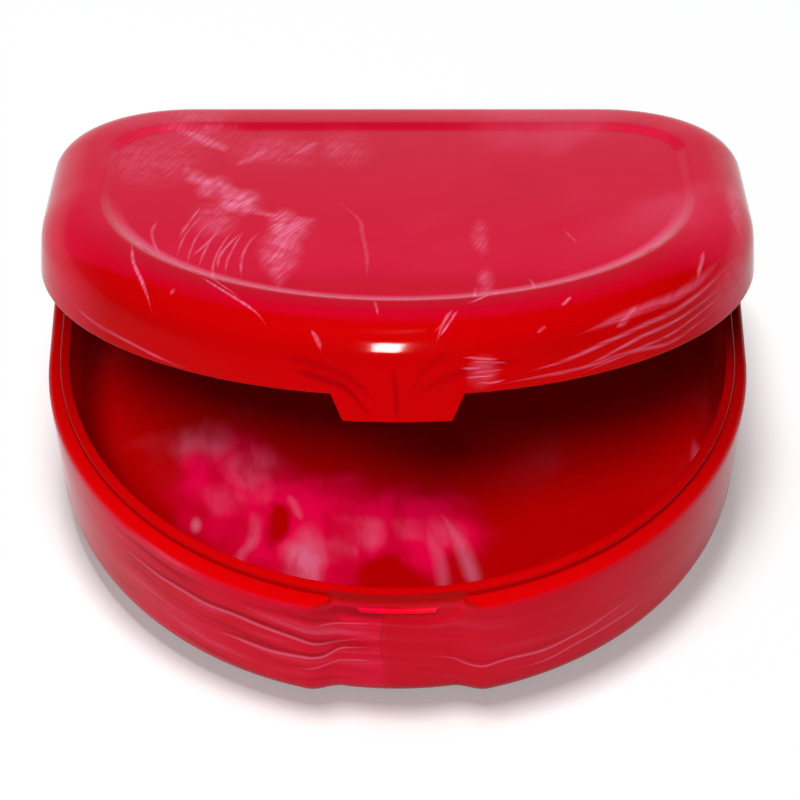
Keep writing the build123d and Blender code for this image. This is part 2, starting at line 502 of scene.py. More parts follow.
def makeEye(startX, length, side, boreRadius):
    # an eye and its arm; side is 1 for an arm upwards and -1 for one downwards
    centre = Vector((startX, hinge["y"], hinge["z"]))
    rootY, radius = hinge["rootY"] - hinge["y"], hinge["radius"]
    lean = math.atan2(hinge["far"], -rootY) - math.asin(radius / math.hypot(rootY, hinge["far"]))
    touchAngle = math.pi / 2 - lean
    nearAngle = math.atan2(hinge["near"], rootY)
    deselectAll()
    bpy.ops.mesh.primitive_circle_add(
        vertices=hinge["vertices"], radius=radius, fill_type="NOTHING", location=centre,
        rotation=(math.pi / 2, 0, math.pi / 2),
    )
    eye = bpy.context.object
    bpy.ops.object.transform_apply()
    startEditing(eye)

    def angleOf(point):
        return math.atan2(side * (point.z - centre.z), point.y - centre.y)

    first, last = touchAngle + hinge["angleSlack"], nearAngle - hinge["angleSlack"]
    choose(eye, "verts", lambda v: first < angleOf(v.co) < last)
    bpy.ops.mesh.delete(type="VERT")
    for isFar, height in ((True, hinge["far"]), (False, hinge["near"])):
        isEnd = lambda v: len(v.link_edges) == 1 and v.co.y - centre.y > -radius * hinge["arcShare"]
        choose(eye, "verts", lambda v: isEnd(v) and (angleOf(v.co) < hinge["endAngle"]) == isFar)
        mesh = bmesh.from_edit_mesh(eye.data)
        end = next(v for v in mesh.verts if v.select)
        target = centre + Vector((0, rootY, side * height))
        bpy.ops.mesh.extrude_region_move(TRANSFORM_OT_translate={"value": target - end.co})
    choose(eye, "verts", lambda v: len(v.link_edges) == 1)
    bpy.ops.mesh.edge_face_add()
    bpy.ops.mesh.select_all(action="SELECT")
    bpy.ops.mesh.edge_face_add()
    bpy.ops.mesh.extrude_region_move(TRANSFORM_OT_translate={"value": (length, 0, 0)})
    bpy.ops.mesh.select_all(action="SELECT")
    bpy.ops.mesh.normals_make_consistent(inside=False)
    choose(eye, "edges", lambda e: abs(e.verts[0].co.x - e.verts[1].co.x) < slack)
    bpy.ops.mesh.bevel(offset=hinge["edgeRound"], segments=hinge["edgeSegments"], affect="EDGES")
    deselectAll()
    bpy.ops.mesh.primitive_cylinder_add(
        vertices=hinge["vertices"], radius=boreRadius, depth=length * 2,
        location=centre + Vector((length / 2, 0, 0)), rotation=(0, math.pi / 2, 0),
    )
    bore = bpy.context.object
    applyModifier(eye, "BOOLEAN", operation="DIFFERENCE", solver="EXACT", object=bore)
    bpy.data.objects.remove(bore)
    return eye


def fuseEyes(shell, eyes):
    for eye in eyes:
        applyModifier(shell, "BOOLEAN", operation="UNION", solver="EXACT", object=eye)
        bpy.data.objects.remove(eye)


trayEyes, lidEyes = [], []
for hingeX in hinge["centres"]:
    halfLid = hinge["lidEye"] / 2
    lidEyes.append(makeEye(hingeX - halfLid, hinge["lidEye"], 1, hinge["lidBore"]))
    for startX in (hingeX - halfLid - hinge["gap"] - hinge["trayEye"], hingeX + halfLid + hinge["gap"]):
        trayEyes.append(makeEye(startX, hinge["trayEye"], -1, hinge["pinRadius"]))
bpy.ops.object.select_all(action="DESELECT")
fuseEyes(trayShell, trayEyes)
fuseEyes(lidShell, lidEyes)
finishShell(trayShell)
finishShell(lidShell)

hingeLine = Vector((0, hinge["y"], hinge["z"]))
turnOpen = Matrix.Rotation(math.radians(-lid["openAngle"]), 4, "X")
lidShell.matrix_world = Matrix.Translation(hingeLine) @ turnOpen @ Matrix.Translation(-hingeLine)
deselectAll()
lidShell.select_set(True)
bpy.context.view_layer.objects.active = lidShell
bpy.ops.object.transform_apply()

# Materials
print("materials")

# Some pigments stand in for light: the crimson top carries a painted sheen, the deep crown red and the skirt
# red are painted shade and painted light, the flank and wall reds are painted light and reflection, the rim
# red is painted shade, the rose is partly painted light, and dark also paints shade.
pigment = {
    "deepShaded": (0.39, 0.0002, 0.0006, 1),
    "skirt": (0.45, 0.0003, 0.001, 1),
    "flankSheen": (0.76, 0.012, 0.055, 1),
    "edge": (0.44, 0.001, 0.014, 1),
    "crimsonWithSheen": (0.525, 0.0045, 0.033, 1),
    "wall": (0.76, 0.004, 0.04, 1),
    "tray": (0.55, 0.0003, 0.001, 1),
    "rim": (0.43, 0.0003, 0.001, 1),
    "rose": (0.95, 0.001, 0.075, 1),
    "pale": (0.82, 0.23, 0.4, 1),
    "dark": (0.3, 0, 0.002, 1),
}
plastic = {
    "specular": 0.03,
    "roughness": (0.05, 0.11),
    "glossNoise": (0.12, 2),
    "glossRamp": (0.3, 0.7),
    "waveHeight": 0.02 * mm,
}

# Streaks are (strength, width, places); places are in millimetres, the lid's with the lid shut.
# The first number of a place is how far along the streak it is, and the second is where it lies across.
# Most places were picked by eye in the photo and turned into millimetres by a fitting script, then rounded.
lidWisp = [
    (1.0, 3.0, [(-31, -12.9), (-22, -12.5), (-15.4, -12.2), (-12.1, -11.5), (-8.4, -11.3), (-6.5, -14.1),
                (-5.2, -16.6), (-4.3, -17.2), (0.6, -19), (4.8, -22.2), (14.3, -25)]),
]
lidStreaksAlongY = [
    (0.7, 0.3, [(-15.4, -24.3), (-8.4, -22.8), (-2.7, -21.1)]),
    (0.6, 0.3, [(-19.6, -25.7), (-13.9, -27), (-7.7, -26.1)]),
    (0.7, 0.3, [(-19.9, -22.7), (-16.7, -21.3), (-10, -18.6)]),
    (0.7, 0.3, [(-23.5, -19.4), (-18.8, -19.1), (-12, -16.6)]),
    (0.6, 0.3, [(-26, -16.9), (-16, -15.9), (-11, -14)]),
    (0.5, 0.25, [(-20.5, -24.2), (-15, -23.7), (-10.7, -22.7), (-5, -21)]),
    (0.55, 0.25, [(-22.5, -22.8), (-16.5, -22.5), (-12.5, -21.7), (-7, -20.1)]),
    (0.55, 0.25, [(-23.4, -21.6), (-18, -21), (-13.8, -20.2), (-8, -18.6)]),
    (0.6, 0.25, [(-29.4, -18.1), (-24.2, -19.9), (-19.2, -19.6), (-15.6, -18.9), (-10.5, -17.4)]),
    (0.5, 0.25, [(-25.5, -18.5), (-21, -18.3), (-16.8, -17.6), (-11.2, -16.3)]),
    (0.45, 0.25, [(-33.6, -16.2), (-30.7, -17.9), (-26.3, -20.2), (-21.8, -22.2)]),
    (0.7, 2.2, [(13, -20), (18.1, -22.9), (23, -26)]),
    (0.6, 1.3, [(8.8, -18.6), (15.9, -14.6)]),
    (0.55, 1.2, [(12.2, -11.8), (18.7, -8.8)]),
    (0.3, 0.4, [(-28.1, -3), (-19.4, -3.6), (-9.3, -4.2), (-5.2, -5.8), (-1.1, -7.4)]),
    (0.8, 0.3, [(-35, 7.4), (-32.6, 9.1), (-29, 11)]),
    (0.5, 0.3, [(-32.6, 9.1), (-30.4, 8.4), (-27.8, 8.8)]),
    (0.9, 0.3, [(-30.4, -25.4), (-25.8, -27.2), (-15.6, -29.4)]),
    (0.8, 0.3, [(-36.8, -13.7), (-32.4, -17.4), (-26, -21.4)]),
    (0.6, 0.35, [(-38.7, -7.6), (-37.6, -9)]),
    (0.5, 0.25, [(-37.3, -1.8), (-33.1, -2.3)]),
    (0.6, 0.25, [(-39.1, 4.4), (-35.6, 6.5)]),
    (0.7, 0.3, [(-33.4, 16.6), (-31.2, 17.9)]),
    (0.6, 0.4, [(-32.6, 22.7), (-31.3, 24), (-29.4, 25.7)]),
    (0.5, 0.3, [(-33, 24), (-31.5, 25.4), (-30.2, 26.5)]),
    (0.6, 0.3, [(-23, 31.7), (-17.2, 33.1)]),
    (0.4, 1.2, [(-11.6, 38), (-7.2, 37.1), (6.5, 38.2)]),
    (0.8, 0.22, [(-38.9, 4.5), (-37.8, 5.7), (-35.7, 7)]),
    (0.6, 0.2, [(-38.5, 4.1), (-37.7, 5.2), (-36, 6.4)]),
    (0.7, 0.35, [(-34.5, 7.6), (-32, 9.4), (-29.4, 10.9)]),
    (0.5, 0.2, [(-36.7, 14.4), (-36.3, 14.9), (-35.8, 15.4)]),
    (0.3, 0.3, [(-16.2, 19.6), (-14.1, 18.9), (-11.6, 18.1)]),
    (0.6, 0.25, [(-29.4, 14.2), (-27.6, 14.1), (-25.9, 13.8)]),
]
# painted reflections: the long pale lines along the skirt stand in for the reflection of the horizon; the
# short ones beside the tab are a hatch of marbling
lidSkirtReflectionsAndHatch = [
    (0.6, 0.28, [(16.9, 0.5), (21.2, 1.3), (26.6, 2.7), (32.3, 3.5), (36.7, 3.6)]),
    (0.5, 0.2, [(18, 0.1), (23, 0.9), (28.5, 2), (34, 2.7), (37.5, 2.9)]),
    (0.45, 0.3, [(-36.6, 2.3), (-31.7, 1.6), (-26.1, 1), (-21, 0.4)]),
    (0.55, 0.4, [(12, 1.2), (15.7, 1.8), (20.2, 2.7), (24.7, 3.4), (28.1, 4), (31.3, 4.5), (34.4, 4.8),
                 (38.5, 4.9)]),
    (0.4, 0.3, [(9, 0.3), (15.7, 0.7), (20.2, 0.9), (24.7, 1.2), (29.4, 1.3), (32.9, 1.6), (37.5, 1.9)]),
    (0.35, 0.7, [(18, 4.8), (25, 5.2), (31, 5.6), (36.5, 5.8)]),
    (0.7, 0.18, [(6.8, 3.7), (7.8, 3.6), (9.2, 3.3), (10.6, 3.2)]),
    (0.55, 0.15, [(7.4, 3.2), (8.4, 3.1), (9.6, 2.9), (11.4, 2.7)]),
    (0.85, 0.2, [(6.5, 2.7), (7.9, 2.5), (9.1, 2.4), (10.2, 2.4)]),
    (0.6, 0.16, [(7.7, 2.1), (8.6, 2), (9.4, 1.9), (10.9, 2)]),
    (0.85, 0.2, [(7, 1.6), (8.2, 1.6), (9.3, 1.4), (10.3, 1.4)]),
    (0.6, 0.2, [(7.9, 0.9), (8.7, 0.9), (9.5, 0.7), (11.2, 0.8)]),
]
lidDarkAlongX = [
    (1.0, 0.8, [(-11.5, 2.6), (-7.5, 1.8), (-5.1, 0.9), (-3.7, -1), (-1.8, -3.2)]),
    (0.7, 0.9, [(-13, 4.2), (-9, 3.6), (-4.6, 2), (-2.4, -0.4), (-1, -3.2)]),
    (0.6, 0.8, [(0.8, -3.2), (2.4, 0), (5, 1.6), (9.5, 2.6), (14, 2.9)]),
    (0.5, 0.7, [(0.4, -3.2), (1.8, 0.8), (3.6, 3), (6.5, 4.6)]),
]
lidDarkAlongW = [(0.9, 0.45, [(-3.4, -0.2), (0, -0.15), (3.9, -0.2)])]
# Patches are (strength, centre, radii)
lidPatches = [
    (1.0, (-20.4, 1.8, 7.6), (2.6, 5.5, 3)),
    (1.3, (-17.4, -2.8, 7.6), (3.1, 5.5, 3)),
    (1.25, (-12.5, -9.4, 7.6), (2, 6, 3)),
    (0.9, (-12.8, -19, 7.6), (1.2, 9.5, 3)),
    (0.5, (-20, -8.5, 7.6), (3.4, 8, 3)),
    (0.45, (-23.5, 22, 7.6), (6.5, 10, 3)),
    (0.3, (-28, 11, 7.6), (8, 12, 3)),
    (0.35, (-14, 14.5, 7.6), (8, 8, 3)),
    (0.3, (-6, 15, 7.6), (5, 9, 3)),
    (0.5, (9.3, -13.5, 7.6), (1.3, 7, 3)),
    (0.5, (9.6, -27, 7.6), (1.2, 6, 3)),
    (0.5, (8.9, -39, 2), (1.9, 2, 2.2)),
    # painted light: a pale patch on the right of the skirt, where the side catches more light
    (0.3, (36.5, -13, 2.5), (6, 14, 4)),
    (0.9, (-23.4, -29.3, 7.4), (0.4, 0.6, 1)),
]
# the rose pool is partly the plastic's own pink and partly painted light on the lit front of the floor
trayPinkAndLitPool = [
    (1.0, (-8, -13, 2), (19, 12, 8)), (0.9, (3, -13, 2), (10, 10, 8)), (0.9, (-19.5, -5, 2), (9, 14, 8)),
    (0.8, (-14, -7.5, 2), (8, 8, 8)),
]
trayBare = [
    (0.85, (-14.5, -11.8, 2), (2.4, 6, 5)), (1.0, (-0.6, -20, 2), (6.6, 5.6, 5)),
    (0.35, (-22.5, -9.5, 2), (3.4, 4, 5)),
]
trayPatches = [
    (0.6, (-23, 1.6, 2), (5.5, 5, 5)),
    (0.6, (-16.6, -3, 2), (4.5, 6, 5)),
    (0.35, (-20.5, -8, 2), (3, 4, 5)),
    (1.5, (-10.6, -17.6, 2), (3.6, 6.5, 5)),
    (0.6, (-3.8, -13, 2), (3.6, 3.6, 5)),
    (0.7, (-6.9, -15.4, 2), (2.4, 3.4, 5)),
    (0.8, (-17.2, -14.2, 2), (1.4, 5, 5)),
    (0.4, (1.8, -12.6, 2), (2.6, 2.6, 5)),
    (0.4, (5.6, -13, 2), (2.6, 4, 5)),
]
traySpot = [(0.9, (-23.2, -11.8, 2), (0.9, 1.7, 3))]
trayStreaksAlongY = [
    (0.75, 1.5, [(-23.5, 8.6), (-17.5, 8.2), (-13, 6.8), (-9, 4.4)]),
    (0.45, 1.3, [(-24, 5.2), (-17, 4.9), (-11, 3.2)]),
    (0.4, 0.8, [(-11.6, -11), (-6.8, -12.8)]),
    (0.6, 1.0, [(-10, 34.6), (-4.8, 34.8), (2.3, 34.5)]),
]
# painted highlights and painted shade of the wall's flow wrinkles: each pale line has a dark line just above
# it
trayWrinkleHighlights = [
    (0.65, 0.4, [(-33.2, 10.3), (-28.8, 12.7), (-19.3, 12.3), (-11, 11.5), (-8.4, 11.1), (-1.9, 12.1)]),
    (0.7, 0.35, [(-21.7, 8.3), (-14.6, 8.6), (-8.5, 8.6), (-5.8, 9.9), (-1.9, 10)]),
    (0.5, 0.22, [(-10, 14.2), (-6.5, 14.6), (-2.2, 14.7)]),
    (0.45, 0.25, [(-12, 6.6), (-8.6, 6.8), (-5.6, 7.6), (-2, 7.4)]),
    (0.7, 0.28, [(1.9, 8.3), (5.7, 8.1), (7.3, 7.5), (9.3, 7.2), (11.2, 7.4), (15.3, 7.5), (22, 8.4),
                 (28, 10)]),
    (0.5, 0.3, [(12, 5.4), (17.5, 6), (23, 6.6), (30, 8)]),
]
trayWrinkleShade = [
    (0.75, 0.55, [(-33.2, 10.9), (-28.8, 13.3), (-19.3, 12.9), (-11, 12.1), (-8.4, 11.7), (-1.9, 12.7)]),
    (0.65, 0.5, [(-21.7, 8.9), (-14.6, 9.2), (-8.5, 9.2), (-5.8, 10.5), (-1.9, 10.6)]),
    (0.4, 0.3, [(3, 8.9), (7.5, 8.3), (10.5, 8), (15.3, 8.3), (22, 9.2)]),
]
trayWeld = [(0.3, 0.25, [(4, -1.6), (11, -1.65), (18.2, -1.6)])]

# Noises are (scale, detail, turn, stretch). Ramps are (where it is 0, where it is 1), in millimetres
# where they follow a place, and shares go from 0 to 1.
marks = {
    "endShare": 0.2,         # how much of a streak's length each end takes to narrow
    "clearShare": 0.4,       # as a share of that, how far past its end it is gone
    "fullShare": 1.6,        # and how far within its end it is at its full width
    "patchEdge": (1, 0.1),
}
lidMarbling = {
    "drift": (0.1, 1.8),
    "hairNoise": (1.3, 3, -20, (0.34, 6, 3)),
    "strokeNoise": (1.3, 2, 0, (5, 5, 0.34)),
    "strokeHeight": (6.5, 4.5),
    "clumpNoise": (0.38, 1),
    "clumpRamp": (0.34, 0.6),
    "clumpLeast": 0.45,
    "wispRamp": (0.34, 0.68),
    "wispLeast": 0.36,
    "fineRamp": (0.3, 0.65),
    "fineLeast": 0.3,
    "cloudNoise": (0.06, 3, -30, (1, 2.2, 1)),
    "hazeRamp": (0.5, 0.75),
    "hazeBehind": (-26, 4),
    "hazeShare": 0.22,
    "hazeLeast": 0.5,
    "creaseRadius": 31.75,
    "creaseHighlightBand": (1.1, 0),
    "creaseHighlightFront": (0, -16),
    "creaseHighlightHeight": (6, 7),
    "creaseHighlightShare": 0.45,
    "sheenBehind": (-28, 2),
    "pinkDrop": 4.0,         # how far down the painted sheen reaches behind
    "topSheenHeight": (7.1, 7.95),
    "topSheenCloud": (0.25, 0.6),
    "topSheenLeast": 0.8,
    "edgeRadius": (32.2, 33.8),
    "edgeFront": (-6, -24),
    "skirtHeight": (5.5, 2),
    "flankSheenWide": (30, 39.5),
    "flankSheenHeight": (7.8, 3.5),
    "flankSheenShare": 0.9,
    "stepPlace": 22.5,
    "stepShadeBand": (1.2, 0.3),
    "stepShadeHeight": (6.5, 7.2),
    "stepShadeWide": (29, 21),
    "stepShadeShare": 0.45,
    "foldFront": -30.0,
    "lightShare": 0.62,
}
trayMarbling = {
    "drift": (0.16, 1.5),
    "raggedDrift": (0.3, 4),
    "wallMiddle": [(1.5, 34), (2.3, 35.4), (3, 36.2), (4, 36.8), (5, 37.05), (17, 37.7)],
    "insideRamp": (0, -0.4),
    "outsideRamp": (-0.15, 0.15),
    "wallFront": (26, 4),
    "wallHeight": (17.6, 17),
    "cloudNoise": (0.09, 3),
    "softNoise": (0.3, 3, 5, (0.8, 2.4, 1)),
    "softRamp": (0.34, 0.62),
    "poolRamp": (0, 0.7),
    "poolLeast": 0.55,
    "bareRamp": (0, 0.75),
    "patchLeast": 0.3,
    "patchShare": 0.85,
    "streakLeast": 0.4,
    "flowNoise": (0.7, 2, -4, (14, 1.3, 1)),
    "leftRamp": (-0.8, -2.4),
    "lightFlowRamp": (0.5, 0.8),
    "lightFlowShares": (0.1, 0.3),   # everywhere, and added on the left
    "darkFlowRamp": (0.48, 0.25),
    "darkFlowShares": (0.2, 0.5),
    "footSheenHeight": (2.3, 1.4),
    "footSheenShare": 0.8,
    "farSideSheenWide": (30, 39),
    "farSideSheenShare": 0.3,
    "farSideSheenLeast": 0.6,
    "hazeRamp": (0.55, 0.8),
    "hazeBehind": (-10, 14),
    "hazeShare": 0.25,
    "pinkShares": (0.38, 0.5),
    "pinkRight": (4, 15),
    "pinkRightShare": 0.2,
    "pinkCloud": (0.3, 0.65),
    "pinkLeast": 0.6,
    "rimShadeHeight": (17.4, 18.2),
    "lightShare": 0.6,
}
wire = {
    "scratchNoise": (12, 3, 0, (14, 1, 1)),
    "stainNoise": (0.8, 3),
    "stainShare": 0.5,
    "shadeRamp": (0.5, 1),
    "darker": (0.5, 0.49, 0.48, 1),
    "lighter": (0.68, 0.67, 0.66, 1),
    "roughness": (0.2, 0.42),
    "bumpStrength": 0.6,
    "bumpHeight": 0.01 * mm,
}


def addNode(tree, kind, settings=None, **inputs):
    # a node with its settings and inputs; an input that is a socket is linked
    node = tree.nodes.new(kind)
    for name, value in (settings or {}).items():
        setattr(node, name, value)
    for name, value in inputs.items():
        socket = node.inputs[int(name[2:])] if name.startswith("in") else node.inputs[name]
        if isinstance(value, bpy.types.NodeSocket):
            tree.links.new(value, socket)
        else:
            socket.default_value = value
    return node


def work(tree, operation, first, second=0.0):
    return addNode(tree, "ShaderNodeMath", {"operation": operation}, in0=first, in1=second).outputs[0]


def product(tree, first, *others):
    for other in others:
        first = work(tree, "MULTIPLY", first, other)
    return first


def strongest(tree, first, *others):
    for other in others:
        first = work(tree, "MAXIMUM", first, other)
    return first


def raised(tree, share, least, more):
    # from least where the share is 0 up to least and more where it is 1
    return work(tree, "ADD", least, work(tree, "MULTIPLY", share, more))


def distanceFrom(tree, value, place):
    return work(tree, "ABSOLUTE", work(tree, "SUBTRACT", value, place))


def mapRange(tree, value, source, result, kind="LINEAR"):
    node = addNode(tree, "ShaderNodeMapRange", {"interpolation_type": kind}, Value=value)
    for name, limit in zip(("From Min", "From Max", "To Min", "To Max"), (*source, *result)):
        node.inputs[name].default_value = limit
    return node.outputs["Result"]


def rampBetween(tree, value, limits):
    # 0 at the first limit and 1 at the second, softly
    return mapRange(tree, value, limits, (0, 1), "SMOOTHSTEP")


def curveThrough(tree, along, places):
    node = addNode(tree, "ShaderNodeFloatCurve", Value=along)
    node.mapping.use_clip = False
    node.mapping.extend = "HORIZONTAL"
    line = node.mapping.curves[0]
    while len(line.points) < len(places):
        line.points.new(0.5, 0.5)    # anywhere, as each one is placed below
    for point, place in zip(line.points, places):
        point.location = place
        point.handle_type = "AUTO_CLAMPED"
    node.mapping.update()
    return node.outputs[0]


def streakMask(tree, along, across, streaks):
    # the strongest of some streaks, each a soft ribbon on a curve that narrows to nothing at its ends
    masks = []
    for strength, width, places in streaks:
        away = distanceFrom(tree, across, curveThrough(tree, along, places))
        first, last = places[0][0], places[-1][0]
        ending = marks["endShare"] * (last - first)
        clear, full = marks["clearShare"] * ending, marks["fullShare"] * ending
        fade = curveThrough(tree, along, [
            (first - ending, 0), (first - clear, 0), (first + full, 1),
            (last - full, 1), (last + clear, 0), (last + ending, 0),
        ])
        narrowing = product(tree, work(tree, "SUBTRACT", 1.0, fade), width)
        reach = work(tree, "ADD", away, narrowing)
        masks.append(product(tree, rampBetween(tree, reach, (width, 0)), strength))
    return strongest(tree, *masks)


def patchMask(tree, point, patches):
    # the strongest of some soft round patches
    masks = []
    for strength, centre, radii in patches:
        local = addNode(tree, "ShaderNodeMapping", {"vector_type": "TEXTURE"}, Vector=point,
                        Location=centre, Scale=radii).outputs[0]
        reach = addNode(tree, "ShaderNodeVectorMath", {"operation": "LENGTH"}, in0=local).outputs["Value"]
        masks.append(product(tree, rampBetween(tree, reach, marks["patchEdge"]), strength))
    return strongest(tree, *masks)


def noiseAt(tree, point, scale, detail=1, turn=0, stretch=(1, 1, 1), output="Fac"):
    if turn or stretch != (1, 1, 1):
        point = addNode(tree, "ShaderNodeMapping", {"vector_type": "TEXTURE"}, Vector=point,
                        Rotation=(0, 0, math.radians(turn)), Scale=stretch).outputs[0]
    return addNode(tree, "ShaderNodeTexNoise", None, Vector=point, Scale=scale, Detail=detail).outputs[output]


def driftPoint(tree, point, scale, amount):
    # moves a point a little by a noise, so that streaks waver
    swirl = noiseAt(tree, point, scale, 0, output="Color")
    centred = addNode(tree, "ShaderNodeVectorMath", {"operation": "SUBTRACT"}, in0=swirl, in1=(0.5, 0.5, 0.5))
    return addNode(tree, "ShaderNodeVectorMath", {"operation": "MULTIPLY_ADD"}, in0=centred.outputs[0],
                   in1=(amount, amount, amount), in2=point).outputs[0]


def radiusOf(tree, x, y):
    flat = addNode(tree, "ShaderNodeCombineXYZ", X=x, Y=y).outputs[0]
    return addNode(tree, "ShaderNodeVectorMath", {"operation": "LENGTH"}, in0=flat).outputs["Value"]


def planReach(tree, x, y):
    # how far out a point lies by the case's own plan shape, in millimetres: 40 all along the outline
    side, back = (plan["radius"] - plan["corner"]) / mm, (plan["back"] - plan["corner"]) / mm
    front = radiusOf(tree, x, work(tree, "MINIMUM", y, 0.0))
    pastSide = work(tree, "MAXIMUM", work(tree, "SUBTRACT", work(tree, "ABSOLUTE", x), side), 0.0)
    pastBack = work(tree, "MAXIMUM", work(tree, "SUBTRACT", y, back), 0.0)
    return work(tree, "MAXIMUM", front, work(tree, "ADD", radiusOf(tree, pastSide, pastBack), side))


def textured(tree, mask, texture, least):
    # weakens a mask to its least share where the texture is 0
    return product(tree, mask, mapRange(tree, texture, (0, 1), (least, 1)))


def mixColours(tree, share, first, second):
    # the Mix node's inputs 6 and 7 and its output 2 are its colours
    node = addNode(tree, "ShaderNodeMix", {"data_type": "RGBA"}, Factor=share, in6=first, in7=second)
    return node.outputs[2]


def newMaterial(name):
    material = bpy.data.materials.new(name)
    material.use_nodes = True
    return material, material.node_tree, material.node_tree.nodes["Principled BSDF"]


def millimetrePoint(tree, shift=(0, 0, 0), turn=0):
    # the place on the case in millimetres, turned about the X axis and shifted
    place = addNode(tree, "ShaderNodeTexCoord").outputs["Object"]
    return addNode(tree, "ShaderNodeMapping", {"vector_type": "POINT"}, Vector=place, Location=shift,
                   Rotation=(math.radians(turn), 0, 0), Scale=(1 / mm, 1 / mm, 1 / mm)).outputs[0]


def axesOf(tree, point):
    outputs = addNode(tree, "ShaderNodeSeparateXYZ", Vector=point).outputs
    return outputs["X"], outputs["Y"], outputs["Z"]


def finishPlastic(tree, shader, point, colour, flow):
    # colour, slightly uneven gloss and faint flow waves in the surface
    shader.inputs["Specular IOR Level"].default_value = plastic["specular"]
    tree.links.new(colour, shader.inputs["Base Color"])
    haze = noiseAt(tree, point, *plastic["glossNoise"])
    roughness = mapRange(tree, haze, plastic["glossRamp"], plastic["roughness"])
    tree.links.new(roughness, shader.inputs["Roughness"])
    waves = addNode(tree, "ShaderNodeBump", None, Strength=1.0, Distance=plastic["waveHeight"], Height=flow)
    tree.links.new(waves.outputs["Normal"], shader.inputs["Normal"])


def lidMaterial():
    look = lidMarbling
    material, tree, shader = newMaterial("marbled_lid_plastic")
    shutTurn = turnOpen.inverted()
    shift = (hingeLine - shutTurn @ hingeLine - Vector((0, 0, lid["rim"]))) / mm
    point = millimetrePoint(tree, shift, lid["openAngle"])
    drifted = driftPoint(tree, point, *look["drift"])
    plainX, plainY, plainW = axesOf(tree, point)
    x, y, w = axesOf(tree, drifted)
    plainRadius = radiusOf(tree, plainX, plainY)
    # hairs on top, and upright strokes down the sides
    hair = noiseAt(tree, drifted, *look["hairNoise"])
    strokes = noiseAt(tree, drifted, *look["strokeNoise"])
    feather = addNode(tree, "ShaderNodeMix", {"data_type": "FLOAT"}, in2=hair, in3=strokes,
                      Factor=rampBetween(tree, w, look["strokeHeight"])).outputs[0]
    clump = rampBetween(tree, noiseAt(tree, point, *look["clumpNoise"]), look["clumpRamp"])
    wisps = strongest(tree, streakMask(tree, y, x, lidWisp), patchMask(tree, drifted, lidPatches))
    wisps = textured(tree, wisps, rampBetween(tree, feather, look["wispRamp"]), look["wispLeast"])
    wisps = textured(tree, wisps, clump, look["clumpLeast"])
    # fine marbled streaks on top, with the painted reflection lines along the skirt
    fine = strongest(tree, streakMask(tree, y, x, lidStreaksAlongY), streakMask(tree, x, w, lidSkirtReflectionsAndHatch))
    fine = textured(tree, fine, rampBetween(tree, feather, look["fineRamp"]), look["fineLeast"])
    cloud = noiseAt(tree, drifted, *look["cloudNoise"])
    haze = product(tree, rampBetween(tree, cloud, look["hazeRamp"]),
                   rampBetween(tree, y, look["hazeBehind"]), look["hazeShare"])
    haze = textured(tree, haze, feather, look["hazeLeast"])
    # painted highlight: a pale line along the panel's crease at the front, standing in for its reflection of
    # the pale horizon
    fromCrease = distanceFrom(tree, plainRadius, look["creaseRadius"])
    creaseHighlight = product(tree, rampBetween(tree, fromCrease, look["creaseHighlightBand"]),
                     rampBetween(tree, y, look["creaseHighlightFront"]),
                     rampBetween(tree, w, look["creaseHighlightHeight"]), look["creaseHighlightShare"])
    light = work(tree, "ADD", strongest(tree, wisps, fine, haze), creaseHighlight)
    # painted sheen: pink on top and far down the sides and the back, standing in for the reflection of the
    # pale horizon; pure red on the front's round edge, which reflects nothing pale
    behind = rampBetween(tree, y, look["sheenBehind"])
    risen = work(tree, "ADD", plainW, product(tree, behind, look["pinkDrop"]))
    topSheen = textured(tree, rampBetween(tree, risen, look["topSheenHeight"]),
                     rampBetween(tree, cloud, look["topSheenCloud"]), look["topSheenLeast"])
    outerFront = product(tree, rampBetween(tree, plainRadius, look["edgeRadius"]),
                         rampBetween(tree, y, look["edgeFront"]))
    top = mixColours(tree, outerFront, pigment["crimsonWithSheen"], pigment["edge"])
    # painted shade and light: a darker red on the crown and a lighter red down the skirt, evening out how the
    # lamps fall
    side = mixColours(tree, rampBetween(tree, w, look["skirtHeight"]), pigment["deepShaded"], pigment["skirt"])
    colour = mixColours(tree, topSheen, side, top)
    # painted light and reflection: the outer sides are paler, where they catch more light and reflect the
    # floor
    fromMiddle = work(tree, "ABSOLUTE", plainX)
    flankSheen = product(tree, rampBetween(tree, fromMiddle, look["flankSheenWide"]),
                    rampBetween(tree, plainW, look["flankSheenHeight"]), look["flankSheenShare"])
    colour = mixColours(tree, flankSheen, colour, pigment["flankSheen"])
    # painted shade: the panel's straight step at the back lies in a darker band, darkened where the lamps
    # light it
    fromStep = distanceFrom(tree, plainY, look["stepPlace"])
    step = product(tree, rampBetween(tree, fromStep, look["stepShadeBand"]),
                   rampBetween(tree, plainW, look["stepShadeHeight"]),
                   rampBetween(tree, fromMiddle, look["stepShadeWide"]), look["stepShadeShare"])
    colour = mixColours(tree, step, colour, pigment["dark"])
    # dark folds beside the tab, on the front only
    folds = strongest(tree, streakMask(tree, x, w, lidDarkAlongX), streakMask(tree, w, x, lidDarkAlongW))
    folds = product(tree, folds, work(tree, "LESS_THAN", y, look["foldFront"]))
    colour = mixColours(tree, folds, colour, pigment["dark"])
    colour = mixColours(tree, product(tree, light, look["lightShare"]), colour, pigment["pale"])
    finishPlastic(tree, shader, point, colour, cloud)
    return material


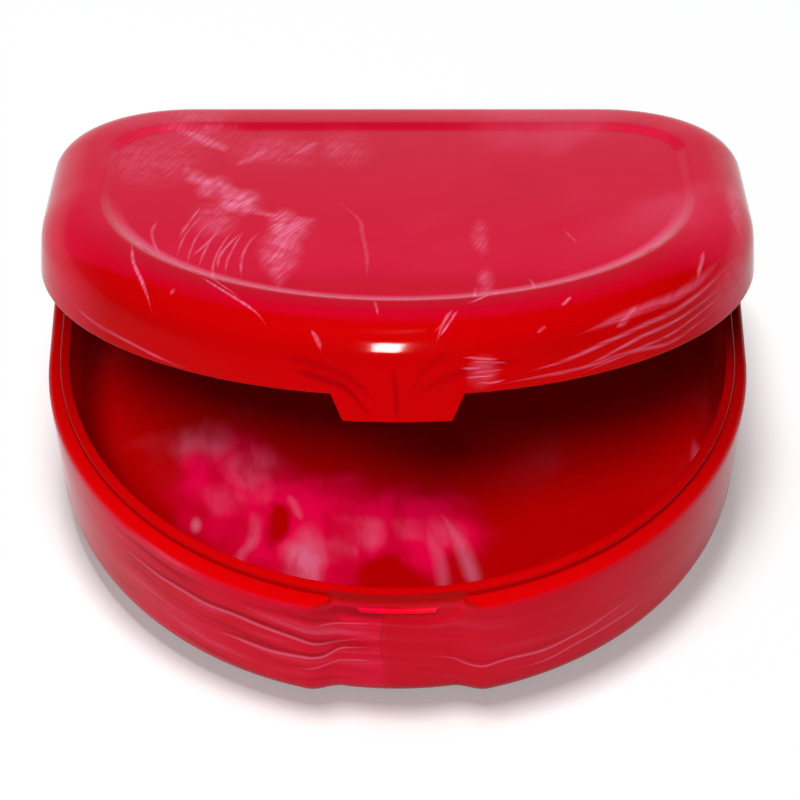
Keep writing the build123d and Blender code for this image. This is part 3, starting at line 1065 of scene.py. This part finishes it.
def trayMaterial():
    look = trayMarbling
    material, tree, shader = newMaterial("marbled_tray_plastic")
    point = millimetrePoint(tree)
    drifted = driftPoint(tree, point, *look["drift"])
    plainX, plainY, plainZ = axesOf(tree, point)
    x, y, z = axesOf(tree, drifted)
    # the middle of the wall, at every height, parts the inside from the outside
    wallMiddle = curveThrough(tree, plainZ, look["wallMiddle"])
    pastMiddle = work(tree, "SUBTRACT", planReach(tree, plainX, plainY), wallMiddle)
    inside = rampBetween(tree, pastMiddle, look["insideRamp"])
    onWall = product(tree, rampBetween(tree, pastMiddle, look["outsideRamp"]),
                     rampBetween(tree, y, look["wallFront"]), rampBetween(tree, plainZ, look["wallHeight"]))
    cloud = noiseAt(tree, drifted, *look["cloudNoise"])
    ragged = driftPoint(tree, drifted, *look["raggedDrift"])
    soft = rampBetween(tree, noiseAt(tree, drifted, *look["softNoise"]), look["softRamp"])
    # inside: a rose pool over the middle of the floor, partly the plastic's own pink and partly painted light
    # where the lamp reaches in under the lid, with pale clouds and streaks in it
    bare = rampBetween(tree, patchMask(tree, ragged, trayBare), look["bareRamp"])
    covered = work(tree, "SUBTRACT", 1.0, bare)
    pinkAndLitPool = rampBetween(tree, patchMask(tree, ragged, trayPinkAndLitPool), look["poolRamp"])
    pinkAndLitPool = product(tree, textured(tree, pinkAndLitPool, soft, look["poolLeast"]), covered)
    clouds = textured(tree, patchMask(tree, ragged, trayPatches), soft, look["patchLeast"])
    clouds = product(tree, clouds, look["patchShare"], covered)
    streaks = textured(tree, streakMask(tree, y, x, trayStreaksAlongY), soft, look["streakLeast"])
    clouds = strongest(tree, clouds, streaks, patchMask(tree, point, traySpot))
    # outside: flow lines along the wall, stronger on the left of the weld line; painted highlights and shade
    # on its wrinkles, and painted reflections at the foot and far out at the sides
    turned = work(tree, "ARCTAN2", x, work(tree, "MULTIPLY", y, -1.0))
    alongWall = product(tree, turned, plan["radius"] / mm)
    unrolled = addNode(tree, "ShaderNodeCombineXYZ", X=alongWall, Y=z, Z=0.0).outputs[0]
    flow = noiseAt(tree, unrolled, *look["flowNoise"])
    leftShare = rampBetween(tree, x, look["leftRamp"])
    flowLight = product(tree, rampBetween(tree, flow, look["lightFlowRamp"]),
                        raised(tree, leftShare, *look["lightFlowShares"]))
    flowDark = product(tree, rampBetween(tree, flow, look["darkFlowRamp"]),
                       raised(tree, leftShare, *look["darkFlowShares"]))
    # painted reflection: a pale band on the rounded foot, where it reflects the floor
    foot = product(tree, rampBetween(tree, plainZ, look["footSheenHeight"]), look["footSheenShare"])
    # painted reflection: paler far out at the sides, where the wall reflects the floor at a glancing angle
    farSideSheen = rampBetween(tree, work(tree, "ABSOLUTE", plainX), look["farSideSheenWide"])
    farSideSheen = textured(tree, product(tree, farSideSheen, look["farSideSheenShare"]), cloud, look["farSideSheenLeast"])
    wallPaleAndSheen = strongest(tree, flowLight, streakMask(tree, x, z, trayWrinkleHighlights), foot, farSideSheen)
    wallDarkAndShade = strongest(tree, flowDark, streakMask(tree, x, z, trayWrinkleShade),
                         streakMask(tree, z, x, trayWeld))
    haze = product(tree, rampBetween(tree, cloud, look["hazeRamp"]),
                   rampBetween(tree, y, look["hazeBehind"]), look["hazeShare"])
    light = strongest(tree, product(tree, clouds, inside), product(tree, wallPaleAndSheen, onWall), haze)
    # the outer wall's pink: partly the weld line's own tone, paler on its left, and partly painted light and
    # floor reflection, which also adds pink towards the right
    pinkRight = product(tree, rampBetween(tree, x, look["pinkRight"]), look["pinkRightShare"])
    pinkToneAndSheen = work(tree, "ADD", raised(tree, leftShare, *look["pinkShares"]), pinkRight)
    pinkToneAndSheen = textured(tree, product(tree, pinkToneAndSheen, onWall),
                      rampBetween(tree, cloud, look["pinkCloud"]), look["pinkLeast"])
    # painted shade: the rim's top is a darker red, as in the lid's shadow
    red = mixColours(tree, rampBetween(tree, plainZ, look["rimShadeHeight"]), pigment["tray"], pigment["rim"])
    colour = mixColours(tree, pinkToneAndSheen, red, pigment["wall"])
    colour = mixColours(tree, product(tree, pinkAndLitPool, inside), colour, pigment["rose"])
    colour = mixColours(tree, product(tree, wallDarkAndShade, onWall), colour, pigment["dark"])
    colour = mixColours(tree, product(tree, light, look["lightShare"]), colour, pigment["pale"])
    finishPlastic(tree, shader, point, colour, flow)
    return material


def steelMaterial():
    # drawn wire: fine scratches along it and slightly uneven gloss
    material, tree, shader = newMaterial("pin_wire_steel")
    shader.inputs["Metallic"].default_value = 1
    point = millimetrePoint(tree)
    scratches = noiseAt(tree, point, *wire["scratchNoise"])
    stain = product(tree, noiseAt(tree, point, *wire["stainNoise"]), wire["stainShare"])
    shade = rampBetween(tree, work(tree, "ADD", scratches, stain), wire["shadeRamp"])
    colour = mixColours(tree, shade, wire["darker"], wire["lighter"])
    tree.links.new(colour, shader.inputs["Base Color"])
    tree.links.new(mapRange(tree, scratches, (0, 1), wire["roughness"]), shader.inputs["Roughness"])
    bump = addNode(tree, "ShaderNodeBump", None, Strength=wire["bumpStrength"], Distance=wire["bumpHeight"],
                   Height=scratches)
    tree.links.new(bump.outputs["Normal"], shader.inputs["Normal"])
    return material


trayPlastic = trayMaterial()
lidPlastic = lidMaterial()
steel = steelMaterial()
trayShell.data.materials.append(trayPlastic)
lidShell.data.materials.append(lidPlastic)
for pinName in ("hinge_pin_left", "hinge_pin_right"):
    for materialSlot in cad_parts[pinName].material_slots:
        materialSlot.material = steel

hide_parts("base_tray")
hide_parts("lid")
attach(trayShell, "tray")
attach(lidShell, "lid")

# Camera, floor and light
print("camera, floor and light")
camera = {
    "place": (0.27 * mm, -324.63 * mm, 330.06 * mm),
    "downwards": 44.54,
    "lens": 177.25,
    "sensor": 36,
}
deselectAll()
bpy.ops.object.camera_add(
    location=camera["place"], rotation=(math.radians(90 - camera["downwards"]), 0, 0)
)
photoCamera = bpy.context.object
photoCamera.name = "photo_camera"
photoCamera.data.lens = camera["lens"]
photoCamera.data.sensor_width = camera["sensor"]
bpy.context.scene.camera = photoCamera

studio = {
    "floorSize": 6,
    "floorColour": (0.86, 0.87, 0.87, 1),
    "white": (1, 1, 1, 1),
    "floorGlow": 0.32,
    "horizonLevel": 0.2,
    "overheadLevel": 0.04,
    "horizonHeight": 0.5,    # how high the pale horizon reaches, as the height of a direction
    "lampDistance": 0.9,
    "aimHeight": 20 * mm,
    "keyFrom": (-0.09, -0.59, 0.80),
    "keySize": (0.19, 0.19),
    "keyLevel": 0.86,
    "topFrom": (-0.05, -0.03, 1),
    "topSize": (0.2, 0.2),
    "topLevel": 0.79,
    "glintFrom": (-0.05, -0.70, 0.71),
    "glintSize": (0.13, 0.34),
    "glintRadiance": 420,
}

bpy.ops.mesh.primitive_plane_add(size=studio["floorSize"], location=(0, 0, 0))
floor = bpy.context.object
floor.name = "studio_floor"
floorMaterial = bpy.data.materials.new("pale_floor")
floorMaterial.use_nodes = True
floorTree = floorMaterial.node_tree
floorTree.nodes.clear()
rays = addNode(floorTree, "ShaderNodeLightPath").outputs
seen = strongest(floorTree, rays["Is Camera Ray"], rays["Is Glossy Ray"], rays["Is Transmission Ray"])
glow = product(floorTree, seen, studio["floorGlow"])
paint = addNode(floorTree, "ShaderNodeBsdfDiffuse", Color=studio["floorColour"])
shine = addNode(floorTree, "ShaderNodeEmission", Color=studio["white"], Strength=glow)
both = addNode(floorTree, "ShaderNodeAddShader", in0=paint.outputs[0], in1=shine.outputs[0])
addNode(floorTree, "ShaderNodeOutputMaterial", Surface=both.outputs[0])
floor.data.materials.append(floorMaterial)

world = bpy.data.worlds.new("studio_world")
bpy.context.scene.world = world
world.use_nodes = True
sky = world.node_tree
sky.nodes.clear()
direction = addNode(sky, "ShaderNodeTexCoord").outputs["Generated"]
height = addNode(sky, "ShaderNodeSeparateXYZ", Vector=direction).outputs["Z"]
level = mapRange(sky, height, (0, studio["horizonHeight"]),
                 (studio["horizonLevel"], studio["overheadLevel"]), "SMOOTHSTEP")
room = addNode(sky, "ShaderNodeBackground", Color=studio["white"], Strength=level)
backdrop = addNode(sky, "ShaderNodeBackground", Color=studio["white"], Strength=1.0)
isCamera = addNode(sky, "ShaderNodeLightPath").outputs["Is Camera Ray"]
skyMix = addNode(sky, "ShaderNodeMixShader", Fac=isCamera, in1=room.outputs[0], in2=backdrop.outputs[0])
addNode(sky, "ShaderNodeOutputWorld", Surface=skyMix.outputs[0])


def softLamp(name, towards, size, radiance):
    # a rectangular lamp that faces the case from a direction
    aim = Vector((0, 0, studio["aimHeight"]))
    place = aim + Vector(towards).normalized() * studio["lampDistance"]
    bpy.ops.object.light_add(type="AREA", location=place)
    lamp = bpy.context.object
    lamp.name = name
    lamp.rotation_euler = (place - aim).to_track_quat("Z", "Y").to_euler()
    lamp.data.shape = "RECTANGLE"
    lamp.data.size, lamp.data.size_y = size
    lamp.data.energy = radiance * math.pi * size[0] * size[1]
    return lamp


def radianceFor(level, size):
    # what a lamp gives off so that a white surface facing it looks as bright as the level
    return level * math.pi * studio["lampDistance"]**2 / (size[0] * size[1])


keyLamp = softLamp("key_lamp", studio["keyFrom"], studio["keySize"],
                   radianceFor(studio["keyLevel"], studio["keySize"]))
topLamp = softLamp("top_lamp", studio["topFrom"], studio["topSize"],
                   radianceFor(studio["topLevel"], studio["topSize"]))
glintLamp = softLamp("glint_lamp", studio["glintFrom"], studio["glintSize"], studio["glintRadiance"])
keyLamp.visible_glossy = False
topLamp.visible_glossy = False
glintLamp.visible_diffuse = False


def limitLamp(lamp, piece, state):
    # leaves a piece out of a lamp's light, or keeps the lamp's light to that piece
    receivers = bpy.data.collections.new(lamp.name + "_receivers")
    receivers.objects.link(piece)
    receivers.collection_objects[0].light_linking.link_state = state
    lamp.light_linking.receiver_collection = receivers


# the key lamp leaves the floor out, so that the shadow in front of the case stays
limitLamp(keyLamp, floor, "EXCLUDE")
limitLamp(glintLamp, lidShell, "INCLUDE")

bpy.context.scene.view_settings.view_transform = "Standard"
